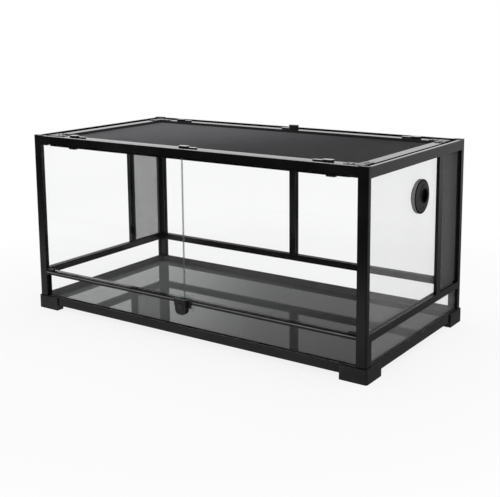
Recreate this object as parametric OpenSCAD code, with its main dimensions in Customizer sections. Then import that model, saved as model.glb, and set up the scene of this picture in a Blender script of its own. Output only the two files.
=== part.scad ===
// Front-opening reptile terrarium: a frame of grooved rails and posts holds
// glass and mesh panels, with two swing doors, a lift-off screen top held by
// turn latches, a keyed lock and a rotary cable port.
// Millimetres. +X right, +Y back, +Z up. The origin is on the floor, in the
// middle of the footprint. u is the depth inward from a rail's outer face.

/* [Frame] */
// Width over the posts
frame_w = 914; // [600:1:1220]
// Depth over the posts
frame_d = 470; // [400:1:620]
// Height to the top of the lip
frame_h = 433.5; // [380:0.5:640]
// Width of a post seen from the front
post_w = 23.5; // [21:0.5:32]
// Depth of a front post above the middle rail
post_front_d = 10; // [8.5:0.5:14]
// Depth of a front post's side leg below the middle rail
post_low_d = 21; // [18:0.5:40]
// Depth of a back post
post_back_d = 16; // [15.5:0.5:24]
// Rounding of the posts' outer corners
corner_r = 4; // [1:0.5:4.5]

/* [Rails] */
// Height of the bottom rail's underside above the ground
clearance_h = 13; // [9:0.5:30]
// Height of a bottom rail
bottom_h = 19.5; // [17:0.5:40]
// Thickness of the bottom and middle rails
rail_t = 14; // [13.5:0.5:22]
// Underside of the side and back middle rails
mid_z = 83.3; // [70:0.1:140]
// Height of a side or back middle rail
mid_h = 16.2; // [13:0.1:30]
// Underside of the front middle rail
sill_z = 87.5; // [74:0.5:140]
// Height of the front middle rail
sill_h = 9.5; // [8.5:0.5:20]
// Depth of the front middle rail
sill_d = 17; // [14:0.5:26]
// Height of a top rail's face
top_h = 22.5; // [20:0.5:40]
// Height of the front top rail's face, above the door rebate
head_h = 18; // [16:0.5:19.5]
// Thickness of a top rail's upright lip
lip_t = 8; // [5:0.5:10]
// Width of a top rail over its screen ledge
top_w = 28; // [27:0.5:40]
// Thickness of the screen ledge
ledge_t = 4.5; // [3:0.5:6]
// Depth of the screen ledge below the lip
ledge_drop = 13.5; // [12:0.5:14]
// How far a corner cap stands above the lip
cap_rise = 1; // [0.5:0.5:6]
// Width of the ledge that carries the floor glass
floor_ledge_w = 10; // [6:1:20]
// Thickness of the floor ledge
floor_ledge_t = 2.3; // [1.5:0.1:4]

/* [Panels] */
// Thickness of the fixed glass
glass_t = 4; // [3:0.5:5]
// Distance from a rail's outer face to its pane
pane_u = 7; // [5:0.5:8]
// Depth of a glazing groove
groove_d = 5; // [3:0.5:6]
// Play of a pane in its groove, each side
groove_play = 0.1; // [0.05:0.05:0.3]
// Thickness of the floor glass
floor_t = 4; // [3:0.5:6]
// Distance of the side dividers behind the frame's middle
divider_y = 96; // [40:1:130]
// Width of a side divider
divider_w = 20; // [14:1:30]
// Width of the back divider
back_divider_w = 18; // [12:1:30]
// Depth of the back divider
back_divider_d = 16; // [15:0.5:22]
// Thickness of the web between two panes
web_t = 2; // [1.5:0.5:4]
// Width of a side mesh panel's edge binding
binding_w = 7; // [5.5:0.5:12]
// Width of a mesh bar
wire_w = 1.6; // [1:0.1:3]
// Thickness of the mesh
wire_t = 1; // [0.6:0.1:1.6]
// Openings of the side mesh across its width
side_mesh_nx = 3; // [1:1:6]
// Openings of the side mesh up its height
side_mesh_nz = 10; // [1:1:14]

/* [Doors] */
// Thickness of the door glass
door_t = 5; // [4:0.5:6]
// Distance from the frame's front face to the doors
door_u = 3; // [2:0.5:4]
// Gap between the two doors
door_gap = 1.5; // [1:0.5:4]
// Gap between the sill and the door's bottom
door_sill_gap = 1.6; // [1.2:0.1:4]
// Distance from a door's outer edge to its pivot
pivot_in = 9.5; // [8:0.5:14]
// Radius of a pivot pin
pin_r = 2; // [1.5:0.25:2.25]
// Radial play of a pivot pin
pin_play = 0.05; // [0.01:0.01:0.1]
// Length of a pivot pin
pin_len = 6; // [3:0.5:7]
// Length of a pivot shoe
shoe_l = 20; // [18:1:34]
// Height of a pivot shoe
shoe_h = 4; // [3.5:0.5:20]
// Wall of a pivot shoe
shoe_wall = 1.4; // [1:0.1:2]
// Width of the clear door stop
stop_w = 36; // [20:1:60]

/* [Lock] */
// Width of the lock body
lock_w = 31; // [27:1:44]
// How far the lock body stands out
lock_out = 12; // [11.5:0.5:18]
// Distance from the lock's top to its bottom
lock_h = 34; // [29:1:44]
// Rounding of the lock's lower corners
lock_corner_r = 11; // [4:0.5:13]
// Distance from the lock's top to the key cylinder's axis
key_drop = 15.5; // [15:0.5:16.5]
// Radius of the key cylinder
plug_r = 7; // [6.75:0.25:8]
// Radius at which the drive pin turns
crank_r = 4.5; // [4:0.25:4.5]
// Radius of the drive pin
crank_pin_r = 1.5; // [1:0.25:1.5]
// Width of the lock bolt
bolt_w = 16; // [14:1:20]
// Thickness of the lock bolt
bolt_t = 2.8; // [2:0.1:3.2]

/* [Screen top] */
// Height of a screen rail
screen_h = 10.9; // [9:0.1:12]
// Gap between the lip and the screen frame
screen_gap = 15; // [10:0.5:17]
// Width of a screen rail
screen_w = 24; // [20:0.5:32]
// Height of the mesh above the screen rails' undersides
mesh_rise = 3.5; // [2:0.1:5]
// Openings of the screen along its length
mesh_nx = 24; // [1:1:30]
// Openings of the screen across its width
mesh_ny = 12; // [1:1:14]
// Length of a screen corner plate's legs
plate_l = 45; // [36:1:60]
// Thickness of a screen corner plate
plate_t = 1.2; // [0.8:0.1:2]

/* [Latches] */
// Distance of the outer latches from the frame's sides
latch_in = 107; // [97:1:260]
// Distance of the centre latches' shafts from the middle
centre_off = 15; // [0:1:30]
// Radius of a latch shaft
shaft_r = 3; // [2:0.25:4]
// Length of a latch knob
knob_l = 26; // [20:1:34]
// Width of a latch knob
knob_w = 15; // [10:1:18]
// Height of a latch knob
knob_h = 5; // [4:0.5:12]
// Height of the back centre latch's knob
tall_knob_h = 11.5; // [4:0.5:16]
// Reach of a latch lever from its shaft
lever_reach = 36; // [28:1:44]
// Reach of a latch foot from its shaft
foot_reach = 17; // [10:1:17]
// Height of a latch foot
foot_t = 7; // [3:0.5:9]
// Gap between an outer latch's foot and the ledge
foot_drop = 6.5; // [0.3:0.1:10]

/* [Cable port] */
// Distance of the port behind the frame's middle
port_y = 5; // [-60:1:40]
// Distance of the port's centre below the top of the lip
port_drop = 95.5; // [85:0.5:180]
// Radius of the port flange
port_r = 37; // [34:0.5:50]
// Thickness of the flange outside the glass
port_t = 9; // [7:0.5:9]
// Lap of the flange over the hole in the glass
flange_lap = 8; // [6:0.5:9]
// Radius of the cable hole
hole_r = 14; // [11:0.5:14]
// Thickness of the port shutter
shutter_t = 3.6; // [3:0.1:4]

/* [Feet] */
// How far a foot stands proud of the frame
foot_out = 3; // [2:0.5:6]
// Length of a foot along each side
foot_leg = 62.5; // [40:0.5:90]
// Width of a foot under the rail
foot_w = 20; // [14:1:30]
// Height of a foot
foot_h = 31.5; // [24:0.5:45]

/* [Hidden] */
$fn = 64;
eps = 0.01;
// how far a cutter runs past a face
over = 1;
// end play of a pane or a pin in its seat
slack = 0.5;
mid_y = (lock_out - foot_out) / 2;
front_y = mid_y - frame_d / 2;
back_y = mid_y + frame_d / 2;
half_w = frame_w / 2;

bottom_top = clearance_h + bottom_h;
mid_top = mid_z + mid_h;
sill_top = sill_z + sill_h;
top_z = frame_h - top_h;
head_z = frame_h - head_h;
ledge_z = frame_h - ledge_drop;
ledge_under = ledge_z - ledge_t;
floor_z = clearance_h + floor_ledge_t;
groove_w = glass_t + 2 * groove_play;
groove_u = pane_u - groove_play;
pane_bottom = bottom_top - groove_d;
inner_w = half_w - post_w;

stop_u = door_u + door_t + slack;
stop_t = 4;
stop_h = 10;
head_stop_h = 6.5;
shoe_gap = 0.5;
shoe_cap = 1;
door_bottom = sill_top + door_sill_gap;
door_top = head_z - shoe_gap - shoe_cap;
// the shoe's corner swings past the post with this gap
swing_gap = 0.4;
swing_r = norm([pivot_in, door_t / 2 + shoe_wall]);
pivot_x = inner_w - swing_gap - swing_r;
door_edge = pivot_x + pivot_in;
pivot_u = door_u + door_t / 2;
head_stop_end = door_edge - shoe_l - 2;

lock_rise = 1;
lock_top = sill_top + lock_rise;
lock_mid = lock_top - key_drop;
plate_out = 8;
plate_d = 3.5;
plate_h = 18;
lock_bevel = 1;
plug_play = 0.05;
plug_len = 6.6;
plug_proud = 0.6;
plug_neck_r = crank_r + crank_pin_r + 0.3;
bolt_back = 0.6;
bolt_play = 0.2;
bolt_drop = 0.8;
bolt_foot = 5;
bolt_bottom = lock_mid - crank_r - crank_pin_r - bolt_foot;
crank_side = crank_r * cos(45);

// the latch shafts pass through the screen rails, inside the ledge
latch_x = half_w - latch_in;
shaft_gap = 1;
shaft_play = 0.05;
shaft_u = top_w + shaft_gap + shaft_r;
mesh_grip = 2;
mesh_play = 0.1;
screen_u = lip_t + screen_gap;
screen_in = screen_u + screen_w;
mesh_u = screen_in - mesh_grip;
screen_z = ledge_z + 0.1;
screen_top_z = screen_z + screen_h;
mesh_z = screen_z + mesh_rise;
lever_w = 10;
lever_t = 3;
knob_gap = 0.3;
centre_foot_drop = 0.4;
centre_foot_t = 3.8;

gasket_t = 1;
barrel_play = 0.5;
barrel_wall = 3;
barrel_end = pane_u + glass_t;
barrel_r = port_r - flange_lap;
chamber_r = barrel_r - barrel_wall;
shutter_gap = 0.3;
chamber_d = shutter_t + 2 * shutter_gap;
shutter_play = 0.08;
hole_edge = 1.5;
hole_off = chamber_r - hole_edge - hole_r;
// the shutter's own hole starts past the cable hole and ends inside its rim
vent_near = hole_r - hole_off + 0.5;
vent_far = chamber_r - 2;
vent_r = (vent_far - vent_near) / 2;
vent_off = (vent_far + vent_near) / 2;
port_z = frame_h - port_drop;
// the retaining ring sits on a shoulder round the shutter's chamber
ring_t = 2.6;
ring_step = 1.2;
ring_lip = 1.5;
ring_play = 0.1;
ring_r = chamber_r + ring_step;
// the collar of the cable hole stands this far above the flange's face
face_drop = 1;

// ---- places ----

// An outline of depth u and height, run along X on the front face
module along_front(x0, x1) {
    translate([x0, front_y, 0])
        rotate([90, 0, 90])
            linear_extrude(x1 - x0) children();
}

// An outline of depth u and height, run along Y on the right face
module along_right(y0, y1) {
    translate([half_w, y1, 0])
        mirror([1, 0, 0])
            rotate([90, 0, 0])
                linear_extrude(y1 - y0) children();
}

module at_back() {
    translate([0, 2 * mid_y, 0])
        mirror([0, 1, 0]) children();
}

module at_left() {
    mirror([1, 0, 0]) children();
}

// A block by its lowest and highest corners
module block(low, high) {
    translate(low) cube(high - low);
}

// The region of a front rail, mitred at 45 degrees from depth u0 to u1
module front_mitre(u0, u1) {
    linear_extrude(2 * frame_h)
        polygon([
            [-half_w + u0, front_y + u0], [half_w - u0, front_y + u0],
            [half_w - u1, front_y + u1], [-half_w + u1, front_y + u1]
        ]);
}

// The region of a right rail, mitred at 45 degrees from depth u0 to u1
module right_mitre(u0, u1) {
    linear_extrude(2 * frame_h)
        polygon([
            [half_w - u0, front_y + u0], [half_w - u0, back_y - u0],
            [half_w - u1, back_y - u1], [half_w - u1, front_y + u1]
        ]);
}

// ---- outlines of the rails ----

module groove(z0, z1) {
    translate([groove_u, z0]) square([groove_w, z1 - z0]);
}

module bottom_outline() {
    difference() {
        union() {
            translate([0, clearance_h]) square([rail_t, bottom_h]);
            translate([0, clearance_h])
                square([rail_t + floor_ledge_w, floor_ledge_t]);
        }
        groove(pane_bottom, bottom_top + eps);
    }
}

module mid_outline() {
    difference() {
        translate([0, mid_z]) square([rail_t, mid_h]);
        groove(mid_z - eps, mid_z + groove_d);
        groove(mid_top - groove_d, mid_top + eps);
    }
}

// The sill carries the lower front glass below and a door groove above
module sill_outline() {
    nose_r = 1.5;
    door_groove_d = 1.5;
    difference() {
        union() {
            translate([0, sill_z]) square([sill_d, sill_h - nose_r]);
            translate([nose_r, sill_z]) square([sill_d - nose_r, sill_h]);
            translate([nose_r, sill_top - nose_r]) circle(nose_r);
        }
        groove(sill_z - eps, sill_z + sill_groove_d);
        translate([door_u, sill_top - door_groove_d])
            square([door_t, door_groove_d + eps]);
    }
}

// Upright lip and foot shared by all four top rails
module top_outline(face_h) {
    nose_r = 1.5;
    translate([0, frame_h - face_h]) square([lip_t, face_h - nose_r]);
    translate([nose_r, frame_h - face_h]) square([lip_t - nose_r, face_h]);
    translate([nose_r, frame_h - nose_r]) circle(nose_r);
    translate([0, ledge_under]) square([rail_t, ledge_t]);
}

module glazed_top_outline() {
    difference() {
        union() {
            top_outline(top_h);
            translate([0, top_z]) square([rail_t, ledge_z - top_z]);
        }
        groove(top_z - eps, top_z + groove_d);
    }
}

// ---- frame ----

module bottom_front() {
    intersection() {
        along_front(-half_w, half_w) bottom_outline();
        front_mitre(0, rail_t + floor_ledge_w);
    }
}

module bottom_right() {
    intersection() {
        along_right(front_y, back_y) bottom_outline();
        right_mitre(0, rail_t + floor_ledge_w);
    }
}

module bottom_rail_front() { color("#2b2a2b") bottom_front(); }
module bottom_rail_back() { color("#2b2a2b") at_back() bottom_front(); }
module bottom_rail_right() { color("#2b2a2b") bottom_right(); }
module bottom_rail_left() { color("#2b2a2b") at_left() bottom_right(); }

module floor_glass() {
    edge = rail_t + 2 * slack;
    color("#8f9694")
        block([-half_w + edge, front_y + edge, floor_z],
              [half_w - edge, back_y - edge, floor_z + floor_t]);
}

// A square plan with its one outer corner rounded, the corner at the origin
module corner_plan(wide, deep, r) {
    union() {
        translate([-wide, r]) square([wide, deep - r]);
        translate([-wide, 0]) square([wide - r, r + eps]);
        translate([-r, r]) circle(r);
    }
}

module right_front_corner() {
    translate([half_w, front_y, 0]) children();
}

// A front post: slim beside the doors, an angle below the sill
module front_post() {
    strip_leg_d = pane_u + glass_t + groove_d;
    right_front_corner() difference() {
        union() {
            translate([0, 0, bottom_top])
                linear_extrude(top_z - bottom_top)
                    corner_plan(post_w, post_front_d, corner_r);
            translate([-post_w, corner_r, bottom_top])
                cube([post_w, strip_leg_d - corner_r, mid_z - bottom_top]);
            translate([-rail_t, corner_r, bottom_top])
                cube([rail_t, post_low_d - corner_r, mid_z - bottom_top]);
        }
        // side glass above the middle rail
        translate([-groove_u - groove_w, post_front_d - groove_d, mid_top - groove_d])
            cube([groove_w, groove_d + eps, frame_h]);
        // lower side glass
        translate([-groove_u - groove_w, post_low_d - groove_d, bottom_top - eps])
            cube([groove_w, groove_d + eps, mid_z - bottom_top + 2 * eps]);
        // lower front glass
        translate([-post_w - eps, groove_u, bottom_top - eps])
            cube([groove_d + eps, groove_w, sill_z + sill_groove_d - bottom_top]);
    }
}

// A back post, grooved for the back panes and for the side panels
module back_post() {
    right_front_corner() difference() {
        translate([0, 0, bottom_top])
            linear_extrude(top_z - bottom_top)
                corner_plan(post_w, post_back_d, corner_r);
        translate([-groove_u - groove_w, post_back_d - groove_d, bottom_top - eps])
            cube([groove_w, groove_d + eps, frame_h]);
        translate([-post_w - eps, groove_u, bottom_top - eps])
            cube([groove_d + eps, groove_w, frame_h]);
    }
}

module post_front_right() { color("#161516") front_post(); }
module post_front_left() { color("#161516") at_left() front_post(); }
module post_back_right() { color("#161516") at_back() back_post(); }
module post_back_left() { color("#161516") at_left() at_back() back_post(); }

// Pivot holes for both doors, from z0 up to z1
module pivot_holes(z0, z1) {
    for (side = [-1, 1])
        translate([side * pivot_x, front_y + pivot_u, z0])
            cylinder(r = pin_r + pin_play, h = z1 - z0);
}

module mid_rail_front() {
    color("#242224") difference() {
        along_front(-inner_w, inner_w) sill_outline();
        pivot_holes(sill_top - pin_len, frame_h / 2);
    }
}

module mid_rail_back() {
    color("#1a1a1a") at_back() along_front(-inner_w, inner_w) mid_outline();
}

module mid_right() {
    along_right(front_y + post_front_d, back_y - post_back_d) mid_outline();
}

module mid_rail_right() { color("#343231") mid_right(); }
module mid_rail_left() { color("#1c1c1c") at_left() mid_right(); }

// Room for the four corner caps
module cap_room() {
    for (side = [-1, 1]) {
        x0 = side > 0 ? inner_w : -half_w - over;
        x1 = side > 0 ? half_w + over : -inner_w;
        block([x0, front_y - over, 0], [x1, front_y + post_front_d, 2 * frame_h]);
        block([x0, back_y - post_back_d, 0], [x1, back_y + over, 2 * frame_h]);
    }
}

// The front top rail overhangs the doors and has a stop lip behind them
module top_rail_front() {
    color("#111011") difference() {
        intersection() {
            union() {
                along_front(-half_w, half_w) top_outline(head_h);
                along_front(-head_stop_end, head_stop_end)
                    translate([stop_u, head_z - head_stop_h])
                        square([stop_t, head_stop_h + ledge_t]);
            }
            front_mitre(0, rail_t);
        }
        cap_room();
        pivot_holes(head_z - over, head_z + pin_len);
    }
}

module top_rail_back() {
    color("#2a2a2b") difference() {
        intersection() {
            at_back() along_front(-half_w, half_w) glazed_top_outline();
            at_back() front_mitre(0, rail_t);
        }
        cap_room();
    }
}

module top_right() {
    difference() {
        intersection() {
            along_right(front_y, back_y) glazed_top_outline();
            right_mitre(0, rail_t);
        }
        cap_room();
    }
}

// A ledge round the inside of the top rails, which carries the screen top
module screen_ledge() {
    color("#18181a") difference() {
        block([-half_w + rail_t, front_y + rail_t, ledge_under],
              [half_w - rail_t, back_y - rail_t, ledge_z]);
        block([-half_w + top_w, front_y + top_w, ledge_under - over],
              [half_w - top_w, back_y - top_w, ledge_z + over]);
        cap_room();
    }
}

module top_rail_right() { color("#3c3b3d") top_right(); }
module top_rail_left() { color("#1b1b1c") at_left() top_right(); }

module corner_cap(deep) {
    difference() {
        translate([0, 0, top_z])
            linear_extrude(top_h + cap_rise)
                corner_plan(post_w, deep, corner_r);
        // the side panel's top corner
        translate([-groove_u - groove_w, deep - groove_d, top_z - eps])
            cube([groove_w, groove_d + eps, groove_d + eps]);
    }
}

module front_cap() {
    right_front_corner() corner_cap(post_front_d);
}

module back_cap() {
    right_front_corner() difference() {
        corner_cap(post_back_d);
        // the back pane's top corner
        translate([-post_w - eps, groove_u, top_z - eps])
            cube([groove_d + eps, groove_w, groove_d + eps]);
    }
}

module corner_caps() {
    color("#1d1c1d") {
        front_cap();
        at_left() front_cap();
        at_back() back_cap();
        at_left() at_back() back_cap();
    }
}

// An angle foot that wraps the outside of the corner and stands under it
module corner_foot() {
    x = half_w + foot_out;
    y = front_y - foot_out;
    difference() {
        intersection() {
            translate([x, y, 0])
                linear_extrude(foot_h)
                    corner_plan(foot_leg, foot_leg, corner_r + foot_out / 2);
            union() {
                block([x - foot_leg, y, 0], [x, y + foot_w, foot_h]);
                block([x - foot_w, y, 0], [x, y + foot_leg, foot_h]);
            }
        }
        // the corner of the bottom rails
        block([0, front_y, clearance_h], [half_w, back_y, 2 * foot_h]);
    }
}

module foot_front_right() { color("#2a2829") corner_foot(); }
module foot_front_left() { color("#2a2829") at_left() corner_foot(); }
module foot_back_right() { color("#2a2829") at_back() corner_foot(); }
module foot_back_left() { color("#2a2829") at_left() at_back() corner_foot(); }

// ---- panels ----

// A pane standing in the front or back face
module front_pane(x0, x1, z0, z1) {
    along_front(x0, x1) translate([pane_u, z0]) square([glass_t, z1 - z0]);
}

// A pane standing in a side face
module right_pane(y0, y1, z0, z1) {
    along_right(y0, y1) translate([pane_u, z0]) square([glass_t, z1 - z0]);
}

strip_end = inner_w + groove_d - slack;
upper_bottom = mid_top - groove_d;
upper_top = top_z + groove_d - slack;
sill_groove_d = groove_d - 1;

module strip_glass_front() {
    color("#9aa8a4")
        front_pane(-strip_end, strip_end, pane_bottom, sill_z + sill_groove_d - slack);
}

module strip_glass_back() {
    color("#9aa8a4") at_back()
        front_pane(-strip_end, strip_end, pane_bottom, mid_z + groove_d - slack);
}

module strip_right() {
    right_pane(front_y + post_low_d - groove_d + slack,
               back_y - post_back_d + groove_d - slack,
               pane_bottom, mid_z + groove_d - slack);
}

module strip_glass_right() { color("#9aa8a4") strip_right(); }
module strip_glass_left() { color("#9aa8a4") at_left() strip_right(); }

module back_glass_right() {
    color("#9aa8a4") at_back()
        front_pane(web_t / 2 + groove_play, strip_end, upper_bottom, upper_top);
}

module back_glass_left() {
    color("#9aa8a4") at_left() at_back()
        front_pane(web_t / 2 + groove_play, strip_end, upper_bottom, upper_top);
}

// An H section that joins the two back panes
module back_divider() {
    inner_t = back_divider_d - pane_u - glass_t - groove_play;
    color("#161616") at_back()
        translate([0, front_y, mid_top])
            linear_extrude(top_z - mid_top) {
                translate([-back_divider_w / 2, 0])
                    square([back_divider_w, groove_u]);
                translate([-web_t / 2, 0]) square([web_t, back_divider_d]);
                translate([-back_divider_w / 2, back_divider_d - inner_t])
                    square([back_divider_w, inner_t]);
            }
}

divider_mid = mid_y + divider_y + divider_w / 2;

// A T section that covers the joint of the side glass and the side mesh
module side_divider() {
    translate([half_w, divider_mid, mid_top])
        linear_extrude(top_z - mid_top) {
            translate([-groove_u, -divider_w / 2]) square([groove_u, divider_w]);
            translate([-pane_u - glass_t, -web_t / 2])
                square([pane_u + glass_t, web_t]);
        }
}

module side_dividers() {
    color("#2a2a2a") {
        side_divider();
        at_left() side_divider();
    }
}

module side_pane() {
    right_pane(front_y + post_front_d - groove_d + slack,
               divider_mid - web_t / 2 - groove_play, upper_bottom, upper_top);
}

module side_glass_left() { color("#9aa8a4") at_left() side_pane(); }

// The right side glass is drilled for the cable port
module side_glass_right() {
    color("#9aa8a4") difference() {
        side_pane();
        port_axis(0) cylinder(r = barrel_r + barrel_play, h = 2 * half_w, center = true);
    }
}

// A plane net of nx by ny openings, its corner at the origin
module net(wide, high, nx, ny) {
    step_x = (wide - wire_w) / nx;
    step_y = (high - wire_w) / ny;
    difference() {
        square([wide, high]);
        for (i = [0 : nx - 1], j = [0 : ny - 1])
            translate([wire_w + i * step_x, wire_w + j * step_y])
                square([step_x - wire_w, step_y - wire_w]);
    }
}

// Mesh with an edge binding that stands in the same groove as the glass
module side_mesh() {
    y0 = divider_mid + web_t / 2 + groove_play;
    y1 = back_y - post_back_d + groove_d - slack;
    wide = y1 - y0;
    high = upper_top - upper_bottom;
    translate([half_w - pane_u - glass_t, y0, upper_bottom])
        rotate([90, 0, 90]) {
            linear_extrude(glass_t) difference() {
                square([wide, high]);
                translate([binding_w, binding_w])
                    square([wide - 2 * binding_w, high - 2 * binding_w]);
            }
            translate([binding_w - wire_w, binding_w - wire_w, (glass_t - wire_t) / 2])
                linear_extrude(wire_t)
                    net(wide - 2 * (binding_w - wire_w),
                        high - 2 * (binding_w - wire_w), side_mesh_nx, side_mesh_nz);
        }
}

module side_mesh_right() { color("#4a4a4c") side_mesh(); }
module side_mesh_left() { color("#4a4a4c") at_left() side_mesh(); }

// ---- doors ----

module door_pane() {
    block([door_gap / 2, front_y + door_u, door_bottom],
          [door_edge, front_y + door_u + door_t, door_top]);
}

module door_right() { color("#a4b0ac") door_pane(); }
module door_left() { color("#a4b0ac") at_left() door_pane(); }

// A channel shoe on a corner of the door, from z0 to z1, without its slot
module shoe_block(z0, z1) {
    block([door_edge - shoe_l, front_y + door_u - shoe_wall, z0],
          [door_edge, front_y + door_u + door_t + shoe_wall, z1]);
}

module pivot_pin(z0, z1) {
    translate([pivot_x, front_y + pivot_u, z0]) cylinder(r = pin_r, h = z1 - z0);
}

module door_shoes() {
    low = sill_top + shoe_gap;
    high = head_z - shoe_gap;
    difference() {
        union() {
            shoe_block(low, low + shoe_h);
            shoe_block(high - shoe_h, high);
            pivot_pin(sill_top - pin_len + slack, low + eps);
            pivot_pin(high - eps, head_z + pin_len - slack);
        }
        door_pane();
    }
}

module door_shoes_right() { color("#1c1c1d") door_shoes(); }
module door_shoes_left() { color("#1c1c1d") at_left() door_shoes(); }

// A clear angle on the sill that both doors close against
module door_stop() {
    color("#c3cccc")
        block([-stop_w / 2, front_y + stop_u, sill_top],
              [stop_w / 2, front_y + stop_u + stop_t, sill_top + stop_h]);
}

// ---- lock ----

module lock_plan(shrink) {
    r = lock_corner_r - shrink;
    x = lock_w / 2 - lock_corner_r;
    low = lock_top - lock_h + lock_corner_r;
    for (side = [-1, 1]) translate([side * x, low]) circle(r);
    translate([-x, low - r]) square([2 * x, r]);
    translate([-x - r, low]) square([2 * (x + r), lock_top - shrink - low]);
}

// Stands an outline of x and height up, from depth y0 to y1
module upright(y0, y1) {
    translate([0, y1, 0]) rotate([90, 0, 0]) linear_extrude(y1 - y0) children();
}

module lock_axis(y) {
    translate([0, y, lock_mid]) rotate([90, 0, 0]) children();
}

plug_face = front_y - lock_out;
lock_face = plug_face + plug_proud;
plug_back = plug_face + plug_len;
bolt_front = front_y - bolt_back - bolt_t;

module lock_body() {
    ring_d = 1.2;
    plug_rim = 1.4;
    color("#2b2829") difference() {
        union() {
            upright(lock_face + lock_bevel, front_y) lock_plan(0);
            upright(lock_face, lock_face + lock_bevel + eps) lock_plan(lock_bevel);
            // back plate on the sill
            block([-lock_w / 2 - plate_out, front_y - plate_d, lock_top - plate_h],
                  [lock_w / 2 + plate_out, front_y, sill_top]);
        }
        // ring round the key cylinder
        lock_axis(lock_face + ring_d)
            cylinder(r = plug_r + plug_rim, h = ring_d + over);
        // bore of the key cylinder, and its neck into the bolt's channel
        lock_axis(plug_back + plug_play)
            cylinder(r = plug_r + plug_play, h = plug_len + over);
        lock_axis(bolt_front)
            cylinder(r = plug_neck_r, h = bolt_front - plug_back);
        block([-bolt_w / 2 - bolt_play, bolt_front - bolt_play, bolt_bottom - bolt_play],
              [bolt_w / 2 + bolt_play, front_y - bolt_back + bolt_play, lock_top + over]);
    }
}

// Key cylinder with its keyway and the eccentric pin that lifts the bolt
module lock_plug() {
    key_w = 1.6;
    key_h = 8;
    key_d = 4;
    pin_end = front_y - bolt_back - bolt_play;
    color("#4a4646") difference() {
        union() {
            lock_axis(plug_back) cylinder(r = plug_r, h = plug_len);
            lock_axis(pin_end)
                translate([crank_side, -crank_side, 0])
                    cylinder(r = crank_pin_r, h = pin_end - plug_back + eps);
        }
        block([-key_w / 2, plug_face - over, lock_mid - key_h / 2],
              [key_w / 2, plug_face + key_d, lock_mid + key_h / 2]);
    }
}

// Bolt with the slot in which the eccentric pin slides sideways
module lock_bolt() {
    slot_play = 0.25;
    slot_r = crank_pin_r + slot_play;
    color("#8c8c8e") difference() {
        block([-bolt_w / 2, bolt_front, bolt_bottom],
              [bolt_w / 2, front_y - bolt_back, lock_top - bolt_drop]);
        block([crank_side - slot_r, bolt_front - over, lock_mid - crank_side - slot_r],
              [crank_r + slot_r, front_y, lock_mid - crank_side + slot_r]);
    }
}

// Clear pad between the lock and the lower glass
module lock_pad() {
    pad_drop = 8;
    color("#c9d2d2")
        block([-lock_w / 2 - plate_out, front_y, lock_top - plate_h - pad_drop],
              [lock_w / 2 + plate_out, front_y + pane_u, sill_z]);
}

// ---- screen top ----

module screen_outline() {
    difference() {
        translate([screen_u, screen_z]) square([screen_w, screen_h]);
        translate([mesh_u - mesh_play, mesh_z - mesh_play])
            square([mesh_grip + over, wire_t + 2 * mesh_play]);
    }
}

latch_xs = [-latch_x, -centre_off, latch_x];

module shaft_holes() {
    for (x = latch_xs)
        translate([x, front_y + shaft_u, screen_z - over])
            cylinder(r = shaft_r + shaft_play, h = screen_h + 2 * over);
}

module screen_front() {
    difference() {
        intersection() {
            along_front(-half_w, half_w) screen_outline();
            front_mitre(screen_u, screen_in);
        }
        shaft_holes();
    }
}

module screen_back() {
    mirror([1, 0, 0]) at_back() screen_front();
}

module screen_right() {
    intersection() {
        along_right(front_y, back_y) screen_outline();
        right_mitre(screen_u, screen_in);
    }
}

module screen_rail_front() { color("#b9b7b4") screen_front(); }
module screen_rail_back() { color("#b9b7b4") screen_back(); }
module screen_rail_right() { color("#b9b7b4") screen_right(); }
module screen_rail_left() { color("#b9b7b4") at_left() screen_right(); }

module screen_mesh() {
    x = half_w - mesh_u;
    y0 = front_y + mesh_u;
    y1 = back_y - mesh_u;
    color("#47474b")
        translate([-x, y0, mesh_z])
            linear_extrude(wire_t) net(2 * x, y1 - y0, mesh_nx, mesh_ny);
}

// One riveted angle plate at a corner of the screen frame
module corner_plate() {
    inset = 1.5;
    wide = screen_w - 2 * inset;
    rivet_r = 2.4;
    rivet_h = 0.8;
    rivet_end = 6;
    translate([half_w - screen_u - inset, front_y + screen_u + inset, screen_top_z]) {
        linear_extrude(plate_t) {
            translate([-plate_l, 0]) square([plate_l, wide]);
            translate([-wide, 0]) square([wide, plate_l]);
        }
        for (along = [wide + rivet_end, plate_l - rivet_end]) {
            translate([-along, wide / 2, 0]) cylinder(r = rivet_r, h = plate_t + rivet_h);
            translate([-wide / 2, along, 0]) cylinder(r = rivet_r, h = plate_t + rivet_h);
        }
    }
}

module screen_plates() {
    color("#c8c6c3") {
        corner_plate();
        at_left() corner_plate();
        at_back() corner_plate();
        at_left() at_back() corner_plate();
    }
}

// A turn latch: knob and lever above the screen rail, foot below it
module latch(drop, thick, high) {
    knob_z = screen_top_z + knob_gap;
    foot_top = ledge_under - drop;
    // the foot's outer side stays clear of the ledge when the top is lifted
    foot_side = shaft_r + shaft_gap / 2;
    foot_in = shaft_r + 2 * shaft_gap;
    translate([0, front_y + shaft_u, 0]) {
        translate([0, 0, foot_top - thick])
            cylinder(r = shaft_r, h = knob_z + over - foot_top + thick);
        translate([0, 0, knob_z]) linear_extrude(high) {
            square([knob_l - knob_w, knob_w], center = true);
            for (side = [-1, 1])
                translate([side * (knob_l - knob_w) / 2, 0]) circle(knob_w / 2);
        }
        translate([0, 0, knob_z]) linear_extrude(lever_t) {
            translate([0, -lever_w / 2]) square([lever_reach - lever_w / 2, lever_w]);
            translate([lever_reach - lever_w / 2, 0]) circle(lever_w / 2);
        }
        block([-foot_reach, -foot_side, foot_top - thick],
              [foot_side, foot_in, foot_top]);
    }
}

module outer_latch() {
    translate([-latch_x, 0, 0]) latch(foot_drop, foot_t, knob_h);
}

module centre_latch(high) {
    translate([-centre_off, 0, 0]) latch(centre_foot_drop, centre_foot_t, high);
}

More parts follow.
